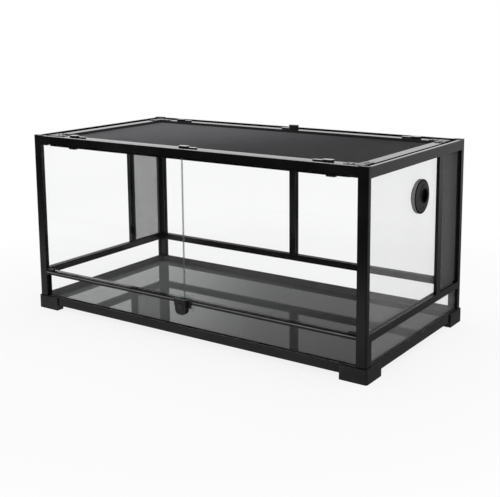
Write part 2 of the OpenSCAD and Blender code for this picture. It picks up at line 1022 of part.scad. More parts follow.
module latch_front_left() { color("#1c1b1c") outer_latch(); }
module latch_front_right() { color("#1c1b1c") at_left() outer_latch(); }
module latch_back_left() { color("#1c1b1c") at_back() outer_latch(); }
module latch_back_right() { color("#1c1b1c") at_left() at_back() outer_latch(); }
module latch_front_centre() { color("#1c1b1c") centre_latch(knob_h); }
module latch_back_centre() {
    color("#1c1b1c") mirror([1, 0, 0]) at_back() centre_latch(tall_knob_h);
}

// ---- cable port ----

// The port's axis, with +Z outward and depth 0 at the frame's face
module port_axis(depth) {
    translate([half_w - depth, mid_y + port_y, port_z])
        rotate([0, 90, 0]) children();
}

flange_back = pane_u - gasket_t;

// Ring on the flange's face, from radius r0 to r1
module face_ring(r0, r1, high) {
    rotate_extrude() translate([r0, 0]) square([r1 - r0, high]);
}

// Outline of the flange and barrel, radius against height over the glass side
module flange_outline() {
    rim_drop = 2;
    rim_w = 1.2;
    moat_w = 2;
    hub_r = port_r - rim_w - moat_w;
    difference() {
        square([port_r, port_t - rim_drop]);
        // a dark ring between rim and hub
        translate([hub_r, port_t / 2]) square([moat_w, port_t]);
    }
    square([hub_r, port_t - face_drop]);
    translate([0, flange_back - barrel_end])
        square([barrel_r, barrel_end - flange_back + eps]);
}

// Flange, barrel and cable hole, with a chamber for the shutter behind
module port_flange() {
    collar_w = 2.5;
    slot_r = hole_r + 9;
    slot_w = 2.4;
    slot_d = 1.5;
    dimple_r = 2;
    dimple_turns = [105, 70];
    slot_floor = flange_back - port_t + face_drop + slot_d;
    color("#2c2c2e") difference() {
        union() {
            port_axis(flange_back) rotate_extrude() flange_outline();
            port_axis(flange_back) translate([0, hole_off, 0])
                cylinder(r = hole_r + collar_w, h = port_t);
        }
        port_axis(0) translate([0, hole_off, 0])
            cylinder(r = hole_r, h = 4 * port_r, center = true);
        // finger slot beside the hole, on the side away from it
        port_axis(slot_floor) intersection() {
            translate([0, hole_off, 0]) face_ring(slot_r, slot_r + slot_w, slot_d + over);
            translate([-port_r, -port_r + hole_off, 0])
                cube([port_r + slot_w, port_r - slot_w, slot_d + over]);
        }
        for (turn = dimple_turns)
            port_axis(slot_floor) rotate([0, 0, turn])
                translate([0, -chamber_r, 0])
                    cylinder(r = dimple_r, h = slot_d + over);
        port_axis(barrel_end + over) cylinder(r = chamber_r, h = chamber_d + ring_t + over);
        port_axis(barrel_end + over) cylinder(r = ring_r, h = ring_t + over);
    }
}

module port_gasket() {
    inset = 1;
    color("#3a3a3c") port_axis(pane_u) difference() {
        cylinder(r = port_r - inset, h = gasket_t);
        translate([0, 0, -over])
            cylinder(r = barrel_r + barrel_play, h = gasket_t + 2 * over);
    }
}

// Ring in the mouth of the barrel that keeps the shutter in
module port_ring() {
    color("#2c2c2e") port_axis(barrel_end)
        face_ring(chamber_r - ring_lip, ring_r - ring_play, ring_t);
}

// A disc that covers the cable hole at rest and opens when turned half round
module port_shutter() {
    grip_w = 4;
    grip_l = 13;
    depth = barrel_end - ring_t - shutter_gap;
    color("#1b1b1c") difference() {
        union() {
            port_axis(depth) cylinder(r = chamber_r - shutter_play, h = shutter_t);
            port_axis(barrel_end)
                translate([-grip_w / 2, vent_off - grip_l / 2, 0])
                    cube([grip_w, grip_l, barrel_end - depth + eps]);
        }
        port_axis(0) translate([0, -vent_off, 0])
            cylinder(r = vent_r, h = 4 * port_r, center = true);
    }
}

floor_glass();
bottom_rail_front();
bottom_rail_back();
bottom_rail_left();
bottom_rail_right();
foot_front_left();
foot_front_right();
foot_back_left();
foot_back_right();
post_front_left();
post_front_right();
post_back_left();
post_back_right();
mid_rail_front();
mid_rail_back();
mid_rail_left();
mid_rail_right();
top_rail_front();
top_rail_back();
top_rail_left();
top_rail_right();
screen_ledge();
corner_caps();
strip_glass_front();
strip_glass_back();
strip_glass_left();
strip_glass_right();
back_glass_left();
back_glass_right();
back_divider();
side_glass_left();
side_glass_right();
side_dividers();
side_mesh_left();
side_mesh_right();
door_stop();
door_left();
door_right();
door_shoes_left();
door_shoes_right();
lock_body();
lock_pad();
lock_plug();
lock_bolt();
screen_rail_front();
screen_rail_back();
screen_rail_left();
screen_rail_right();
screen_plates();
screen_mesh();
latch_front_left();
latch_front_centre();
latch_front_right();
latch_back_left();
latch_back_centre();
latch_back_right();
port_flange();
port_gasket();
port_ring();
port_shutter();
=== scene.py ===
import math
import random

import bpy
import numpy as np
from mathutils import Matrix, Vector


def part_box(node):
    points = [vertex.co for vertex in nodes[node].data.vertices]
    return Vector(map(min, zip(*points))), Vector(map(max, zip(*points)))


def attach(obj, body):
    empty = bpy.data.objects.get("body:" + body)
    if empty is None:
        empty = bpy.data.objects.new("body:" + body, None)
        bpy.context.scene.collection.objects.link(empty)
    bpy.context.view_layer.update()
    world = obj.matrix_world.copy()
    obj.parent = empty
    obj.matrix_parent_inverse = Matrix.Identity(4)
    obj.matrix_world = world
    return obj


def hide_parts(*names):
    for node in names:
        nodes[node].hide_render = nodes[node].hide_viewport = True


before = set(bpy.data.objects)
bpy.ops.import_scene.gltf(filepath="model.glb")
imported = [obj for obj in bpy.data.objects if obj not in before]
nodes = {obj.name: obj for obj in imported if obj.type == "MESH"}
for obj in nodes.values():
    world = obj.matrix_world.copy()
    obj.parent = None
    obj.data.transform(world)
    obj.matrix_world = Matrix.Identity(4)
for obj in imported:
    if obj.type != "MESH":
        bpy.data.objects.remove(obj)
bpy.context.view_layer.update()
print("frame loaded:", len(nodes), "nodes")

mm = 0.001
facing = 0.7  # a face whose normal reaches this along an axis is taken to face along it


# A socket that can be used in expressions
class Sock:
    def __init__(self, shader, socket):
        self.shader = shader
        self.socket = socket

    def calc(self, operation, other, flip=False):
        first, second = (other, self) if flip else (self, other)
        return self.shader.add("ShaderNodeMath", {"operation": operation}, {0: first, 1: second})

    def __add__(self, other): return self.calc("ADD", other)
    def __radd__(self, other): return self.calc("ADD", other, True)
    def __sub__(self, other): return self.calc("SUBTRACT", other)
    def __rsub__(self, other): return self.calc("SUBTRACT", other, True)
    def __mul__(self, other): return self.calc("MULTIPLY", other)
    def __rmul__(self, other): return self.calc("MULTIPLY", other, True)


# Builds one node tree: add() makes any node from its settings and socket values
class Shader:
    def __init__(self, tree):
        self.tree = tree
        tree.nodes.clear()

    def add(self, kind, settings=None, values=None, out=0):
        node = self.tree.nodes.new(kind)
        for key, value in (settings or {}).items():
            if key == "stops":  # colour ramp: [(place, grey or colour), ...]
                while len(node.color_ramp.elements) < len(value):
                    node.color_ramp.elements.new(0.5)
                for element, (place, colour) in zip(node.color_ramp.elements, value):
                    element.position = place
                    element.color = colour if hasattr(colour, "__len__") else (colour,) * 3 + (1,)
            else:
                setattr(node, key, value)
        for key, value in (values or {}).items():
            if isinstance(value, Sock):
                self.tree.links.new(value.socket, node.inputs[key])
            elif hasattr(value, "__len__") and node.inputs[key].type == "RGBA" and len(value) == 3:
                node.inputs[key].default_value = tuple(value) + (1,)
            else:
                node.inputs[key].default_value = value
        return Sock(self, node.outputs[out])

    def split(self, vector):
        parts = self.add("ShaderNodeSeparateXYZ", None, {0: vector}).socket.node
        return [Sock(self, parts.outputs[k]) for k in range(3)]

    def place(self):
        return self.add("ShaderNodeTexCoord", None, None, "Object")

    def scaled(self, vector, scale):
        return self.add("ShaderNodeMapping", None, {"Vector": vector, "Scale": scale})

    def noise(self, vector, scale, detail=3.0, rough=0.5):
        return self.add("ShaderNodeTexNoise", None,
                        {"Vector": vector, "Scale": scale, "Detail": detail, "Roughness": rough})

    def span(self, value, low, high, outLow=0.0, outHigh=1.0, smooth=True):
        return self.add("ShaderNodeMapRange",
                        {"interpolation_type": "SMOOTHSTEP" if smooth else "LINEAR"},
                        {"Value": value, "From Min": low, "From Max": high,
                         "To Min": outLow, "To Max": outHigh})

    def mixColour(self, factor, low, high):
        return self.add("ShaderNodeMix", {"data_type": "RGBA"},
                        {"Factor": factor, 6: low, 7: high}, out=2)

    def bump(self, height, strength, distance):
        return self.add("ShaderNodeBump", None,
                        {"Height": height, "Strength": strength, "Distance": distance})

    # share of light that a pane reflects, the same from both of its sides
    def grazing(self):
        squareOn = 0.04
        slant = self.add("ShaderNodeLayerWeight", None, {"Blend": 0.5}, "Facing")
        falloff = self.add("ShaderNodeMath", {"operation": "POWER"}, {0: slant, 1: 5.0})
        return falloff * (1 - squareOn) + squareOn

    def principled(self, **values):
        return self.add("ShaderNodeBsdfPrincipled", None,
                        {key.replace("_", " "): value for key, value in values.items()})

    def finish(self, surface):
        output = self.tree.nodes.new("ShaderNodeOutputMaterial")
        self.tree.links.new(surface.socket, output.inputs["Surface"])


def newMaterial(name):
    material = bpy.data.materials.new(name)
    material.use_nodes = True
    return material, Shader(material.node_tree)


def dress(node, *materials):
    mesh = nodes[node].data
    mesh.materials.clear()
    for material in materials:
        mesh.materials.append(material)


railFinish = {
    "colour": (0.0062, 0.0058, 0.0060),
    "dust": (0.0125, 0.0120, 0.0124),
    "roughness": 0.20,
    "streaks": 0.06,
    "across": 420.0,  # draw lines to the metre across the rail, and along it
    "along": 2.5,
    "patches": 9.0,
    "grainSize": 2600.0,
    "grain": 0.00004,
}


# Satin black extrusion, with faint draw lines along axis 0, 1 or 2
def extrudedPlastic(name, axis, settings, roughness=None, colour=None):
    material, shader = newMaterial(name)
    place = shader.place()
    along = [settings["across"]] * 3
    along[axis] = settings["along"]
    lines = shader.noise(shader.scaled(place, along), 1.0, 2.0)
    cloud = shader.noise(place, settings["patches"], 4.0, 0.6)
    grain = shader.noise(place, settings["grainSize"], 2.0)
    base = roughness if roughness is not None else settings["roughness"]
    rough = base + (lines - 0.5) * settings["streaks"] + (cloud - 0.5) * 0.10
    dusty = shader.span(cloud, 0.42, 0.72)
    tone = shader.mixColour(dusty, colour or settings["colour"], settings["dust"])
    height = lines * 0.6 + grain * 0.4
    shader.finish(shader.principled(
        Base_Color=tone, Roughness=rough, IOR=1.5,
        Normal=shader.bump(height, 0.12, settings["grain"])))
    return material


footFinish = {
    "colour": (0.0170, 0.0160, 0.0165),
    "worn": (0.034, 0.032, 0.033),
    "roughness": 0.40,
    "grainSize": 1500.0,
    "grainDepth": 0.00012,
    "patches": 26.0,
    "coat": 0.0,
    "coatRoughness": 0.12,
}


# Moulded plastic with a fine spark-eroded grain
def mouldedPlastic(name, settings, **changes):
    settings = dict(settings, **changes)
    material, shader = newMaterial(name)
    place = shader.place()
    grain = shader.noise(place, settings["grainSize"], 3.0, 0.6)
    cloud = shader.noise(place, settings["patches"], 4.0, 0.6)
    tone = shader.mixColour(shader.span(cloud, 0.4, 0.75), settings["colour"], settings["worn"])
    rough = settings["roughness"] + (cloud - 0.5) * 0.14 + (grain - 0.5) * 0.08
    shader.finish(shader.principled(
        Base_Color=tone, Roughness=rough, IOR=1.5,
        Coat_Weight=settings["coat"], Coat_Roughness=settings["coatRoughness"], Coat_IOR=1.5,
        Normal=shader.bump(grain, 0.35, settings["grainDepth"])))
    return material


lidFinish = {
    "colour": (0.030, 0.030, 0.032),
    "rubbed": (0.075, 0.074, 0.074),
    "roughness": 0.13,
    "streaks": 0.14,
    "brush": (900.0, 6.0),  # marks to the metre across and along the section
    "bands": (150.0, 1.2),
    "bandDepth": 0.22,
    "coat": 0.12,
    "coatRoughness": 0.08,
}


# Black coated aluminium section, brushed along its length before coating
def coatedMetal(name, axis, settings, **changes):
    settings = dict(settings, **changes)
    material, shader = newMaterial(name)
    place = shader.place()
    along = [settings["brush"][0]] * 3
    along[axis] = settings["brush"][1]
    brush = shader.noise(shader.scaled(place, along), 1.0, 4.0, 0.7)
    wide = [settings["bands"][0]] * 3
    wide[axis] = settings["bands"][1]
    band = shader.noise(shader.scaled(place, wide), 1.0, 2.0)
    tone = shader.mixColour(shader.span(brush, 0.45, 0.75), settings["colour"], settings["rubbed"])
    streaks = (brush - 0.5) * settings["streaks"]
    rough = settings["roughness"] + streaks + (band - 0.5) * settings["bandDepth"]
    shader.finish(shader.principled(
        Base_Color=tone, Roughness=rough, IOR=1.42,
        Coat_Weight=settings["coat"], Coat_Roughness=settings["coatRoughness"], Coat_IOR=1.5,
        Normal=shader.bump(brush, 0.15, 0.00006)))
    return material


glassFinish = {
    "reflection": 0.35,  # share of a bare pane's reflection
    "tint": (0.996, 0.998, 0.997),
    "edge": (0.20, 0.235, 0.225),
    "edgeOpacity": 0.55,
    "paintedReflection": 0.10,  # share of the pane that a pale veil of painted reflection covers
    "paintedReflectionVeil": (0.84, 0.85, 0.84),
}


# Clear float glass: it lets light straight through and keeps its sheen. Given a share, a pale veil
# of painted reflection covers that much of it
def clearGlass(name, settings, paintedReflection=0.0):
    material, shader = newMaterial(name)
    smear = shader.noise(shader.place(), 7.0, 5.0, 0.6)
    sheen = shader.principled(
        Base_Color=(0.9, 0.95, 0.93), Metallic=1.0,
        Roughness=shader.span(smear, 0.3, 0.8, 0.0, 0.05))
    through = shader.add("ShaderNodeBsdfTransparent", None, {"Color": settings["tint"]})
    pane = shader.add("ShaderNodeMixShader", None,
                      {0: shader.grazing() * settings["reflection"], 1: through, 2: sheen})
    # painted reflection: a pale matte veil mixed over the pane
    if paintedReflection:
        paintedReflectionVeil = shader.principled(Base_Color=settings["paintedReflectionVeil"], Roughness=0.9)
        share = shader.span(smear, 0.3, 0.8, paintedReflection * 0.9, paintedReflection * 1.1)
        pane = shader.add("ShaderNodeMixShader", None, {0: share, 1: pane, 2: paintedReflectionVeil})
    shader.finish(pane)
    return material


# Ground edge of a pane: the green depth of the glass shows here
def glassEdge(name, settings):
    material, shader = newMaterial(name)
    ground = shader.noise(shader.place(), 900.0, 3.0)
    tone = shader.mixColour(ground, settings["edge"], [min(1, c * 1.6) for c in settings["edge"]])
    body = shader.principled(Base_Color=tone, Roughness=0.22 + ground * 0.25, IOR=1.5)
    through = shader.add("ShaderNodeBsdfTransparent", None, {"Color": settings["tint"]})
    shader.finish(shader.add("ShaderNodeMixShader", None,
                             {0: settings["edgeOpacity"], 1: through, 2: body}))
    return material


floorFinish = {
    # the pale colour is a painted reflection; the deep colour is the glass's own dark grey
    "paintedReflectionPale": (0.217, 0.222, 0.221),
    "deep": (0.020, 0.020, 0.020),
    "fade": (-0.48, 0.36),  # painted reflection: from the pale colour at the left to the deep one
    "roughness": 0.02,
}


# Grey floor glass: a dark mirror with a painted reflection that is palest at the left
def floorGlass(name, settings):
    material, shader = newMaterial(name)
    place = shader.place()
    x = shader.split(place)[0]
    blotchNoise = shader.noise(place, 3.2, 4.0, 0.55)
    # painted reflection: pale at the left, fading to the deep colour
    paintedReflection = shader.span(x + (blotchNoise - 0.5) * 0.12, *settings["fade"], 1.0, 0.0, False)
    tone = shader.mixColour(paintedReflection, settings["deep"], settings["paintedReflectionPale"])
    rough = settings["roughness"] + shader.span(blotchNoise, 0.3, 0.8, 0.0, 0.03)
    shader.finish(shader.principled(Base_Color=tone, Roughness=rough, IOR=1.56))
    return material


clipFinish = {
    "colour": (0.62, 0.66, 0.65),
    "tint": (0.93, 0.95, 0.94),
    "roughness": 0.12,
    "cloudiness": 0.16,
}


# Clear moulded plastic for the door stop and the lock's pad
def clearPlastic(name, settings):
    material, shader = newMaterial(name)
    cloud = shader.noise(shader.place(), 320.0, 3.0)
    body = shader.principled(
        Base_Color=settings["colour"], Roughness=settings["roughness"] + cloud * 0.16, IOR=1.5)
    through = shader.add("ShaderNodeBsdfTransparent", None, {"Color": settings["tint"]})
    share = shader.grazing() * 1.2 + settings["cloudiness"]
    shader.finish(shader.add("ShaderNodeMixShader", None, {0: share, 1: through, 2: body}))
    return material


wireFinish = {
    "colour": (0.046, 0.045, 0.048),
    # painted sheen: the paler wire colour on the side the light favours
    "sheen": (0.150, 0.148, 0.158),
    "roughness": 0.46,
    # painted moiré: rings of lighter and darker wire colour
    "rings": 1250.0,
    "paintedMoireFrom": (0.62, 0.35),
}


# Black coated wire with a painted sheen, paler towards one side, and faint painted moiré rings
# spreading from a corner. Both are painted light: they stand for what fine mesh does with studio
# light
def wireMaterial(name, settings, across, paintedSheenSpan, rings=None, centre=None):
    material, shader = newMaterial(name)
    place = shader.place()
    parts = shader.split(place)
    u, v = parts[across[0]], parts[across[1]]
    cu, cv = centre or settings["paintedMoireFrom"]
    du, dv = u - cu, v - cv
    # painted moiré: light and dark rings in the colour about a point
    radius = shader.add("ShaderNodeMath", {"operation": "SQRT"}, {0: du * du + dv * dv})
    paintedMoirePhase = radius * (rings or settings["rings"])
    paintedMoireWave = shader.add("ShaderNodeMath", {"operation": "SINE"}, {0: paintedMoirePhase})
    cloud = shader.noise(place, 5.0, 3.0)
    # painted sheen: the colour grows paler towards one side
    paintedSheenMask = shader.span(u - v * 0.5, paintedSheenSpan[0], paintedSheenSpan[1])
    paintedLightMask = paintedSheenMask + (paintedMoireWave * 0.07 + (cloud - 0.5) * 0.15) * (1.1 - paintedSheenMask)
    tone = shader.mixColour(paintedLightMask, settings["colour"], settings["sheen"])
    knots = shader.noise(place, 700.0, 2.0)
    shader.finish(shader.principled(
        Base_Color=tone, Roughness=settings["roughness"] + (knots - 0.5) * 0.2, IOR=1.5))
    return material


turnedFinish = {"colour": (0.055, 0.052, 0.052), "roughness": 0.34, "rings": 5200.0}


# Turned metal face with concentric tool marks about a point of the XZ plane
def turnedMetal(name, settings, centre):
    material, shader = newMaterial(name)
    place = shader.place()
    parts = shader.split(place)
    dx, dz = parts[0] - centre[0], parts[2] - centre[1]
    radius = shader.add("ShaderNodeMath", {"operation": "SQRT"}, {0: dx * dx + dz * dz})
    marks = shader.add("ShaderNodeMath", {"operation": "SINE"}, {0: radius * settings["rings"]})
    cloud = shader.noise(place, 300.0, 3.0)
    tone = shader.mixColour(cloud, settings["colour"], [c * 1.7 for c in settings["colour"]])
    shader.finish(shader.principled(
        Base_Color=tone,
        Metallic=1.0, Roughness=settings["roughness"] + marks * 0.05,
        Normal=shader.bump(marks, 0.1, 0.00005)))
    return material


railX = extrudedPlastic("rail along x", 0, railFinish)
railY = extrudedPlastic("rail along y", 1, railFinish)
railZ = extrudedPlastic("rail along z", 2, railFinish)
# Moulded finishes, as changes to footFinish. The sill's edge, the port's rim and the frame's lip
# carry painted highlights, and the bottom rails' inner faces a painted reflection: paler than the
# plastic they are made of, they stand for studio light. The sill's gap and the recesses are
# painted shade, near black
plasticLooks = {
    "sill edge painted highlight": {"colour": (0.300, 0.290, 0.325), "worn": (0.360, 0.350, 0.385),
                  "roughness": 0.35},
    "port rim painted highlight": {"colour": (0.290, 0.290, 0.296), "worn": (0.350, 0.350, 0.356),
                 "roughness": 0.5},
    "recess painted shade": {"colour": (0.0035, 0.0035, 0.0035), "worn": (0.006, 0.006, 0.006),
                  "roughness": 0.7},
    "sill gap painted shade": {"colour": (0.004, 0.004, 0.004), "worn": (0.007, 0.007, 0.007),
                 "roughness": 0.75},
    "inner rail painted reflection": {"colour": (0.165, 0.160, 0.162), "worn": (0.200, 0.195, 0.197),
                        "roughness": 0.5},
    "foot": {},
    "latch": {"colour": (0.010, 0.010, 0.0105), "worn": (0.022, 0.021, 0.022),
              "roughness": 0.30, "coat": 1.0},
    "lip painted highlight": {"colour": (0.080, 0.079, 0.080), "worn": (0.110, 0.109, 0.110),
                 "roughness": 0.22, "coat": 0.5},
    "door shoe": {"colour": (0.012, 0.012, 0.012), "roughness": 0.3},
    "port": {"colour": (0.0115, 0.0110, 0.0115), "worn": (0.022, 0.021, 0.022),
             "roughness": 0.42},
    "lock body": {"colour": (0.013, 0.012, 0.0122), "worn": (0.024, 0.022, 0.0225),
                  "roughness": 0.34, "grainDepth": 0.00006},
    "seal": {"colour": (0.02, 0.02, 0.02), "roughness": 0.6},
}
plastic = {name: mouldedPlastic(name, footFinish, **look) for name, look in plasticLooks.items()}
capPlastic = extrudedPlastic("corner cap", 2, railFinish,
                             roughness=0.26, colour=(0.0072, 0.0068, 0.0072))
lidX = coatedMetal("lid rail along x", 0, lidFinish)
lidY = coatedMetal("lid rail along y", 1, lidFinish)
plateMetal = coatedMetal("lid corner plate", 0, lidFinish,
                         colour=(0.05, 0.05, 0.051), rubbed=(0.12, 0.12, 0.12), roughness=0.26)
paneGlass = clearGlass("clear glass", glassFinish)
paintedReflectionGlass = clearGlass("glass with painted reflection", glassFinish, glassFinish["paintedReflection"])
paneEdge = glassEdge("glass edge", glassFinish)
baseGlass = floorGlass("floor glass", floorFinish)
clearClip = clearPlastic("clear plastic", clipFinish)
# both wires get a painted sheen towards one side and painted moiré rings
topWire = wireMaterial("top wire", wireFinish, across=(0, 1), paintedSheenSpan=(0.25, -0.42))
sideWire = wireMaterial("side wire", dict(wireFinish, sheen=(0.24, 0.24, 0.25)), across=(1, 2),
                        paintedSheenSpan=(0.9, -0.6), rings=700.0, centre=(0.45, 0.62))
lockAxis = (0.0, 0.0825)  # x and z of the key cylinder's axis
plugMetal = turnedMetal("lock cylinder", dict(turnedFinish, colour=(0.080, 0.075, 0.075)),
                        lockAxis)
ringMetal = turnedMetal("key ring", dict(turnedFinish, colour=(0.010, 0.010, 0.010)), lockAxis)
boltMetal = coatedMetal("bolt", 2, lidFinish,
                        colour=(0.30, 0.30, 0.30), rubbed=(0.5, 0.5, 0.5), roughness=0.3)
print("materials ready")

for node in nodes:
    if node.startswith(("bottom_rail", "mid_rail", "top_rail")):
        dress(node, railX if node.endswith(("front", "back")) else railY)
    elif node.startswith("post") or "divider" in node:
        dress(node, railZ)
    elif node.startswith("foot"):
        dress(node, plastic["foot"])
    elif node.startswith("screen_rail"):
        dress(node, lidX if node.endswith(("front", "back")) else lidY)
    elif node.startswith("latch"):
        dress(node, plastic["latch"])
    elif node.startswith("door_shoes"):
        dress(node, plastic["door shoe"])
    elif node in ("port_flange", "port_ring", "port_shutter"):
        dress(node, plastic["port"])
dress("corner_caps", capPlastic)
dress("screen_ledge", railX)
dress("screen_plates", plateMetal)
dress("port_gasket", plastic["seal"])
dress("lock_body", plastic["lock body"])
dress("lock_plug", plugMetal, plastic["recess painted shade"])
dress("lock_bolt", boltMetal)
dress("lock_pad", clearClip)
dress("door_stop", clearClip)
dress("floor_glass", baseGlass)

# a pane's faces are clear; the ground edges where the doors meet are green
for node in nodes:
    if node in ("door_left", "door_right") or (("glass" in node) and node != "floor_glass"):
        # the right side pane and the right strip carry the painted reflection veil
        hasPaintedReflection = node in ("side_glass_right", "strip_glass_right")
        dress(node, paintedReflectionGlass if hasPaintedReflection else paneGlass, paneEdge)
        meeting = {"door_left": 1, "door_right": -1}.get(node, 0)
        for face in nodes[node].data.polygons:
            face.material_index = 1 if face.normal.x * meeting > facing else 0

# the port's rim wall carries a painted highlight, and its moat, finger slot and cable hole are
# painted near black as shade
portShape = {
    "centre": (9.5 * mm, 338 * mm),
    "hole": (20.0 * mm, 338 * mm),
    "holeRadius": 14.6 * mm,
    "slotRadius": 14.6 * mm * 1.2,  # the finger slot lies further from the hole than this
    "hubRadius": 33.6 * mm,
    "rimRadius": 36.6 * mm,
    "slotFloor": (457.2 * mm, 458.9 * mm),
    "collarTop": 459.8 * mm,
}


def portFace(place, normal):
    # rim: faces with the painted highlight; hole: faces painted near black as shade
    plain, rim, hole = 0, 1, 2
    isWall = abs(normal.x) < 0.5
    fromCentre = math.hypot(place.y - portShape["centre"][0], place.z - portShape["centre"][1])
    fromHole = math.hypot(place.y - portShape["hole"][0], place.z - portShape["hole"][1])
    if fromCentre > portShape["rimRadius"] and isWall:
        return rim
    slot = portShape["slotFloor"]
    if fromCentre > portShape["hubRadius"]:
        return plain if place.x > slot[1] - mm else hole
    if fromHole < portShape["holeRadius"] and isWall:
        return hole
    if place.x > portShape["collarTop"]:
        return hole
    atSlot = slot[0] < place.x < slot[1] and fromHole > portShape["slotRadius"]
    return hole if atSlot else plain


dress("port_flange", plastic["port"], plastic["port rim painted highlight"], plastic["recess painted shade"])
for face in nodes["port_flange"].data.polygons:
    face.material_index = portFace(face.center, face.normal)
# the shutter inside the hole is painted near black as shade
dress("port_shutter", plastic["recess painted shade"])

# the bottom rails' inner faces are paler, a painted reflection of the floor glass; their ledges
# are sealed
inward = {"front": (0, 1), "back": (0, -1), "left": (1, 0), "right": (-1, 0)}
for side, (nx, ny) in inward.items():
    along = railX if ny else railY
    dress("bottom_rail_" + side, along, plastic["inner rail painted reflection"], plastic["seal"])
    for face in nodes["bottom_rail_" + side].data.polygons:
        isInner = face.normal.x * nx + face.normal.y * ny > facing
        face.material_index = 1 if isInner else 2 if face.normal.z > facing else 0

# the upper faces of the frame's lip carry a painted highlight: pale, for the light on their edge
for side, (nx, ny) in inward.items():
    rail = nodes["top_rail_" + side]
    dress("top_rail_" + side, railX if ny else railY, plastic["lip painted highlight"])
    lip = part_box("top_rail_" + side)[1].z - 0.5 * mm
    for face in rail.data.polygons:
        isLip = face.normal.z > 0.6 and face.center.z > lip
        face.material_index = 1 if isLip else 0
print("frame nodes dressed")


def newObject(name, verts, faces, material, body, smooth=False):
    mesh = bpy.data.meshes.new(name)
    mesh.from_pydata(verts, [], faces)
    mesh.materials.append(material)
    mesh.polygons.foreach_set("use_smooth", [smooth] * len(mesh.polygons))
    mesh.update()
    piece = bpy.data.objects.new(name, mesh)
    bpy.context.scene.collection.objects.link(piece)
    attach(piece, body)
    return piece


# Crossing wires over a panel. spot(u, v, w) gives a point; w is off the panel
def wireNet(name, sizeU, sizeV, pitch, wire, sag, spot, material, body):
    verts, faces = [], []
    half = wire / 2
    sides = 6  # of each wire's section
    stepLength = 0.05
    unevenness = 0.02  # of the pitch
    rng = random.Random(meshSize["seed"])

    def strand(fixed, length, alongU, layer):
        steps = max(2, int(length / stepLength))
        start = len(verts)
        for k in range(steps + 1):
            t = length * k / steps
            u, v = (t, fixed) if alongU else (fixed, t)
            drop = sag * (1 - (2 * u / sizeU - 1) ** 2) * (1 - (2 * v / sizeV - 1) ** 2)
            for s in range(sides):
                angle = math.tau * s / sides
                a, b = half * math.cos(angle), half * math.sin(angle) + layer - drop
                verts.append(spot(u, v + a, b) if alongU else spot(u + a, v, b))
        for k in range(steps):
            for s in range(sides):
                p, q = start + k * sides + s, start + k * sides + (s + 1) % sides
                first, second = (p, q) if alongU else (q, p)
                faces.append((first, second, second + sides, first + sides))

    over = half * 0.55  # the two layers of wires cross at this height off the middle
    for alongU, layer in ((True, over), (False, -over)):
        length, width = (sizeU, sizeV) if alongU else (sizeV, sizeU)
        count = int(width / pitch)
        for k in range(1, count):
            fixed = width * k / count + rng.uniform(-unevenness, unevenness) * pitch
            strand(fixed, length, alongU, layer)
    return newObject(name, verts, faces, material, body, True)


meshSize = {
    "pitch": 1.35 * mm,
    "wire": 0.46 * mm,
    "sidePitch": 1.2 * mm,
    "sag": 1.2 * mm,
    "binding": 7.0 * mm,
    "tuck": 0.6,  # share of the binding that the wires stop short by
    "seed": 7,
}

low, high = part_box("screen_mesh")
meshMid = (low.z + high.z) / 2
x0, x1 = low.x, high.x
y0, y1 = low.y, high.y
topMesh = wireNet(
    "screenWires", x1 - x0, y1 - y0, meshSize["pitch"], meshSize["wire"], meshSize["sag"],
    lambda u, v, w: (x0 + u, y0 + v, meshMid + w), topWire, "lid")
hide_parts("screen_mesh")

for side in ("left", "right"):
    node = "side_mesh_" + side
    low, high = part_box(node)
    sign = 1 if side == "right" else -1
    midX = (low.x + high.x) / 2
    b = meshSize["binding"]
    tuck = meshSize["tuck"]
    u0, v0 = low.y + b * tuck, low.z + b * tuck
    wires = wireNet(
        "sideWires" + side.title(),
        high.y - low.y - 2 * tuck * b, high.z - low.z - 2 * tuck * b,
        meshSize["sidePitch"], meshSize["wire"], 0.0,
        lambda u, v, w: (midX + w * sign, u0 + u, v0 + v), sideWire, "frame")
    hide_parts(node)
    # folded edge binding with a rounded inner lip
    half = (high.x - low.x) / 2
    profile = [(0, -half), (0, half), (b * 0.7, half), (b * 0.93, half * 0.6),
               (b, 0), (b * 0.93, -half * 0.6), (b * 0.7, -half)]
    verts, faces = [], []
    corners = [(low.y, low.z, 1, 1), (high.y, low.z, -1, 1),
               (high.y, high.z, -1, -1), (low.y, high.z, 1, -1)]
    for cy, cz, sy, sz in corners:
        for into, off in profile:
            verts.append((midX + off, cy + sy * into, cz + sz * into))
    n = len(profile)
    for c in range(4):
        for k in range(n):
            a, d = c * n + k, ((c + 1) % 4) * n + k
            e, f = c * n + (k + 1) % n, ((c + 1) % 4) * n + (k + 1) % n
            faces.append((a, d, f, e))
    newObject("meshBinding" + side.title(), verts, faces, railZ, "frame")
print("wire mesh made")

# dark ring in the groove round the lock's cylinder
keyRing = {"radius": 7.7 * mm, "thick": 0.55 * mm, "sunk": 0.75 * mm, "around": 48, "across": 10}
keyway = {"reach": 4.5 * mm, "from": 0.1 * mm, "deep": 4.2 * mm}

low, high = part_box("lock_plug")
lockX, lockZ = (low.x + high.x) / 2, (low.z + high.z) / 2
